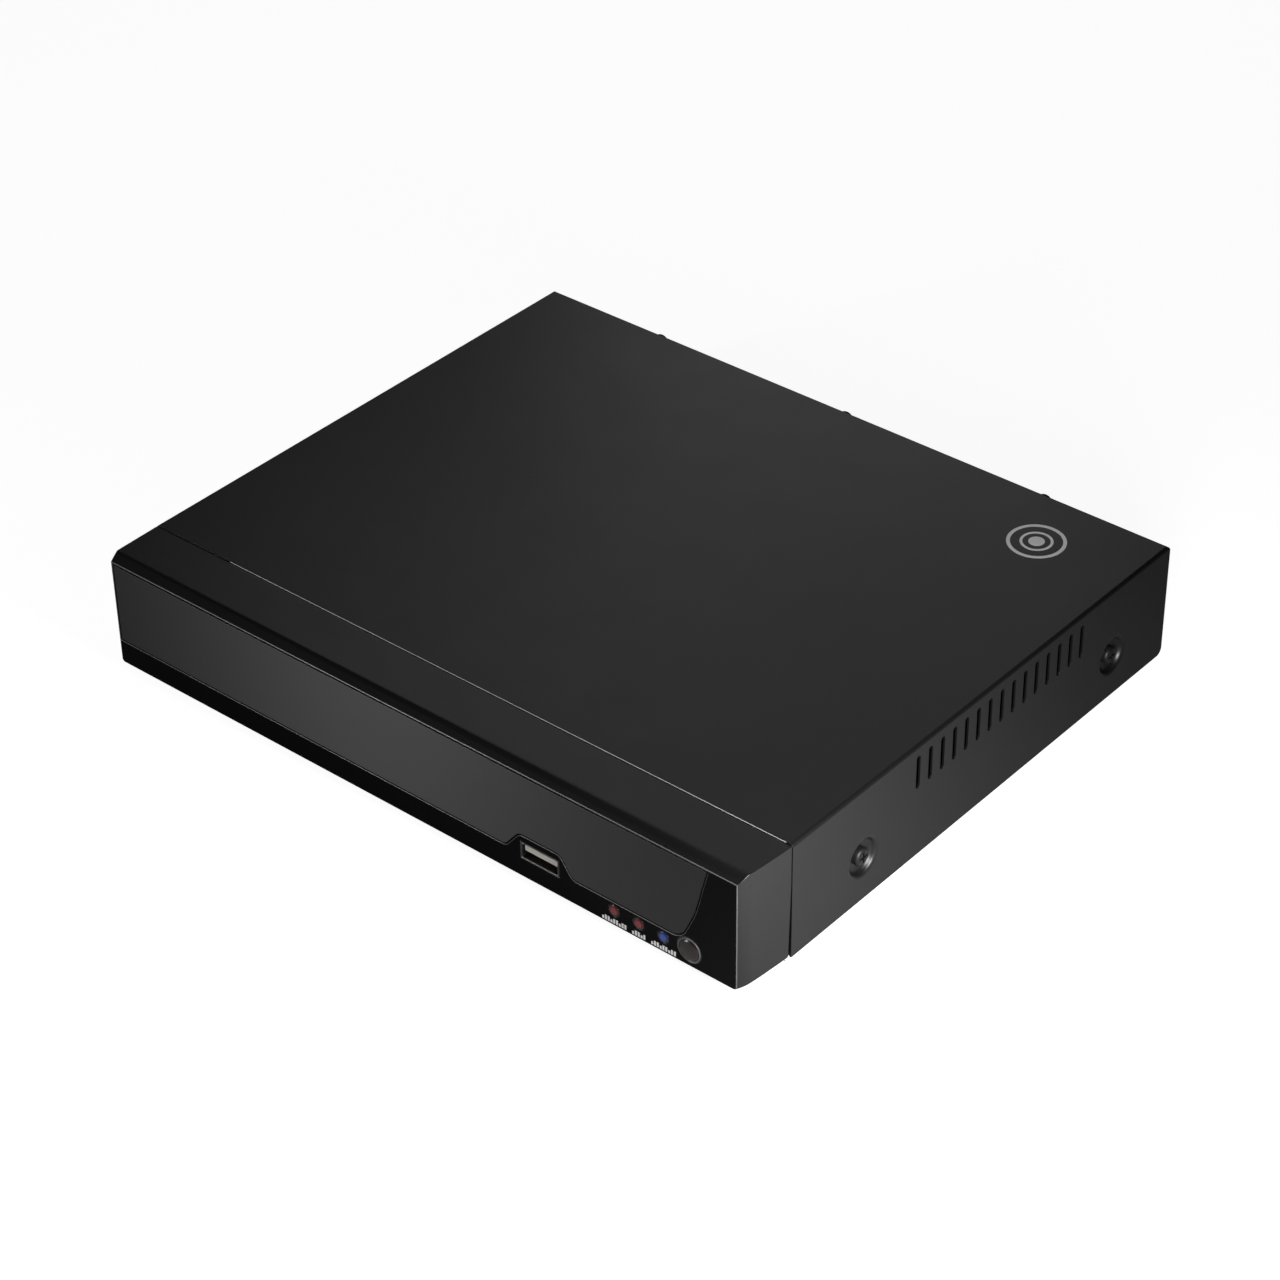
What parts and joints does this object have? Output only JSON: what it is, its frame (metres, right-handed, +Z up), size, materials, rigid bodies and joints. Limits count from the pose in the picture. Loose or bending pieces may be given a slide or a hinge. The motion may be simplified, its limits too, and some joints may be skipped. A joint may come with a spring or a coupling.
{
  "type": "dvr recorder",
  "caption": "Low black steel video recorder box with a moulded front, glossy dark inlay, lamps, front USB socket, side vents and rear video sockets.",
  "frame": {"origin": "centre of the whole object's footprint, on the surface that its feet stand on", "axes": "+X to the right seen from the front, -Y out of the front, +Z up"},
  "size_m": [0.255, 0.2234, 0.045],
  "materials": {
    "cover_paint": "fine satin black powder paint",
    "tray_steel": "fine satin black powder paint",
    "feet_rubber": "matte",
    "black_screw": "black oxide, glossy",
    "bezel_plastic": "satin moulded",
    "window_gloss": "glossy dark inlay",
    "red_lamp": "clear red resin",
    "blue_lamp": "clear blue resin",
    "infrared_lens": "glossy dark lens",
    "chip_plastic": "moulded epoxy",
    "board_green": "solder mask",
    "bright_screw": "zinc plated",
    "brass_pillar": "turned",
    "heat_sink_alloy": "anodised",
    "cell_steel": "brushed",
    "black_plastic": "moulded",
    "white_plastic": "moulded",
    "red_plastic": "moulded",
    "blue_plastic": "moulded",
    "can_alloy": "satin can",
    "ferrite": "pressed ferrite",
    "nickel": "nickel plated",
    "gold_contact": "gold flashed",
    "copper_coil": "enamelled copper",
    "disk_casting": "die cast",
    "disk_steel": "brushed",
    "disk_mirror": "polished",
    "red_cable": "soft jacket",
    "black_cable": "soft jacket",
    "grey_cable": "soft jacket"
  },
  "bodies": {
    "case": {"battery_holder": "black_plastic", "blue_lamp": "blue_lamp", "bnc_housing": "black_plastic", "bnc_insulators": "white_plastic", "bnc_shells": "nickel", "board_chips": "chip_plastic", "board_headers": "white_plastic", "board_standoffs": "brass_pillar", "buzzer": "black_plastic", "capacitors": "can_alloy", "chassis": "tray_steel", "clock_battery": "cell_steel", "cover_screws": "black_screw", "dc_jack": "black_plastic", "disk_base": "disk_casting", "disk_board": "board_green", "disk_data_lead": "red_cable", "disk_lid": "disk_steel", "disk_lid_screws": "bright_screw", "disk_magnets": "disk_steel", "disk_power_lead": "black_cable", "fan_coils": "copper_coil", "fan_frame": "black_plastic", "fan_lead": "black_cable", "fan_screws": "black_screw", "front_bezel": "bezel_plastic", "front_board": "board_green", "front_board_screws": "bright_screw", "front_lead": "grey_cable", "front_window": "window_gloss", "hdmi_shell": "nickel", "hdmi_tongue": "black_plastic", "heat_sink": "heat_sink_alloy", "inductors": "ferrite", "ir_lens": "infrared_lens", "ir_receiver": "chip_plastic", "lan_contacts": "gold_contact", "lan_jack": "black_plastic", "main_board": "board_green", "processor": "chip_plastic", "rca_housing": "black_plastic", "rca_inserts": "red_plastic", "rca_sleeves": "nickel", "red_lamps": "red_lamp", "rubber_feet": "feet_rubber", "socket_pins": "gold_contact", "top_cover": "cover_paint", "tray_screws": "bright_screw", "usb_front_shell": "nickel", "usb_rear_shell": "nickel", "usb_tongues": "white_plastic", "vga_body": "blue_plastic", "vga_jackscrews": "nickel", "vga_shell": "nickel"},
    "rotor": {"fan_rotor": "black_plastic"},
    "disk_stack": {"disk_hub": "disk_casting", "disk_platters": "disk_mirror", "disk_clamp": "disk_steel"},
    "heads": {"head_arms": "disk_casting", "voice_coil": "copper_coil"}
  },
  "joints": [
    {"name": "fan_spin", "type": "hinge", "parent": "case", "child": "rotor", "pos_m": [0.1028, 0.0945, 0.021], "axis": [0, 1, 0], "continuous": true},
    {"name": "platter_spin", "type": "hinge", "parent": "case", "child": "disk_stack", "pos_m": [-0.068, -0.0287, 0.0225], "axis": [0, 0, 1], "continuous": true},
    {"name": "head_swing", "type": "hinge", "parent": "case", "child": "heads", "pos_m": [-0.0113, -0.0467, 0.0225], "axis": [0, 0, 1], "range_deg": [0, 34]}
  ]
}
